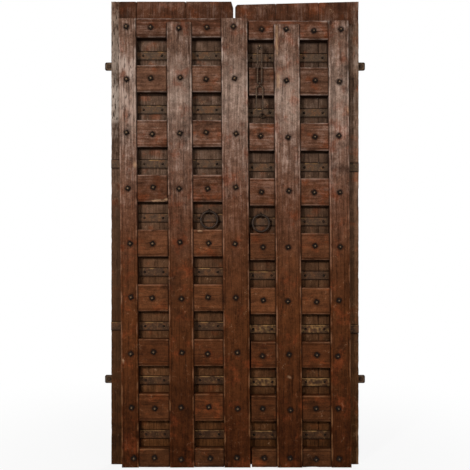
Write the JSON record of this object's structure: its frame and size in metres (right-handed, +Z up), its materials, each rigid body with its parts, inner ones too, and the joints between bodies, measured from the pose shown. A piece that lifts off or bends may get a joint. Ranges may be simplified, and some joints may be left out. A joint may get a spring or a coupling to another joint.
{
  "type": "wooden sliding door",
  "caption": "Old two-leaf plank door made as one sliding panel: boards behind a lapped grid of stiles and rails, with iron straps, forged nails, ring pulls and a hasp chain.",
  "frame": {"origin": "middle of the panel's box, at the level of its foot", "axes": "+Z up; +X to the right as seen from the front; -Y points out of the front, +Y to the back bars"},
  "size_m": [1.163, 0.1056, 2.05],
  "materials": {
    "board_wood": "weathered, grey-brown, open grain",
    "stile_wood": "weathered and waxed, grey at the top and red-brown below",
    "rail_wood": "worn, red-brown with traces of old paint",
    "forged_iron": "hammered, dark, rubbed bright on the edges",
    "strap_iron": "flat bar, dull grey-brown with rust",
    "bar_iron": "flat bar, dark and matt"
  },
  "bodies": {
    "panel": {"left_board_1": "board_wood", "left_board_2": "board_wood", "left_board_3": "board_wood", "right_board_1": "board_wood", "right_board_2": "board_wood", "right_board_3": "board_wood", "left_outer_stile": "stile_wood", "left_middle_stile": "stile_wood", "meeting_stile": "stile_wood", "right_middle_stile": "stile_wood", "right_outer_stile": "stile_wood", "left_rail_1": "rail_wood", "left_rail_2": "rail_wood", "left_rail_3": "rail_wood", "left_rail_4": "rail_wood", "left_rail_5": "rail_wood", "left_rail_6": "rail_wood", "left_rail_7": "rail_wood", "left_rail_8": "rail_wood", "left_rail_9": "rail_wood", "right_rail_1": "rail_wood", "right_rail_2": "rail_wood", "right_rail_3": "rail_wood", "right_rail_4": "rail_wood", "right_rail_5": "rail_wood", "right_rail_6": "rail_wood", "right_rail_7": "rail_wood", "right_rail_8": "rail_wood", "right_rail_9": "rail_wood", "left_strap_1": "strap_iron", "left_strap_2": "strap_iron", "left_strap_3": "strap_iron", "left_strap_4": "strap_iron", "left_strap_5": "strap_iron", "left_strap_6": "strap_iron", "left_strap_7": "strap_iron", "left_strap_8": "strap_iron", "right_strap_1": "strap_iron", "right_strap_2": "strap_iron", "right_strap_3": "strap_iron", "right_strap_4": "strap_iron", "right_strap_5": "strap_iron", "right_strap_6": "strap_iron", "right_strap_7": "strap_iron", "right_strap_8": "strap_iron", "forged_nails": "forged_iron", "strap_nails": "forged_iron", "left_ring_staple": "forged_iron", "right_ring_staple": "forged_iron", "chain_staple": "forged_iron", "chain_keeper": "forged_iron", "upper_back_bar": "bar_iron", "lower_back_bar": "bar_iron", "bar_screws": "bar_iron"},
    "left_ring": {"left_ring": "forged_iron"},
    "right_ring": {"right_ring": "forged_iron"},
    "chain_link_1": {"chain_link_1": "forged_iron"},
    "chain_link_2": {"chain_link_2": "forged_iron"},
    "chain_hasp": {"chain_hasp": "forged_iron"}
  },
  "joints": [
    {"name": "left_ring_swing", "type": "hinge", "parent": "panel", "child": "left_ring", "pos_m": [-0.114, -0.00374, 1.12025], "axis": [-1, 0, 0], "range_deg": [-4, 110]},
    {"name": "right_ring_swing", "type": "hinge", "parent": "panel", "child": "right_ring", "pos_m": [0.114, -0.00374, 1.10445], "axis": [-1, 0, 0], "range_deg": [-4, 110]},
    {"name": "chain_link_1_swing", "type": "hinge", "parent": "panel", "child": "chain_link_1", "pos_m": [0.10704, -0.04235, 1.8375], "axis": [-1, 0, 0], "range_deg": [0, 75]},
    {"name": "chain_link_2_swing", "type": "hinge", "parent": "chain_link_1", "child": "chain_link_2", "pos_m": [0.10704, -0.04235, 1.7565], "axis": [-1, 0, 0], "range_deg": [0, 60]},
    {"name": "chain_hasp_swing", "type": "hinge", "parent": "chain_link_2", "child": "chain_hasp", "pos_m": [0.10704, -0.04235, 1.6735], "axis": [-1, 0, 0], "range_deg": [0, 60]}
  ]
}
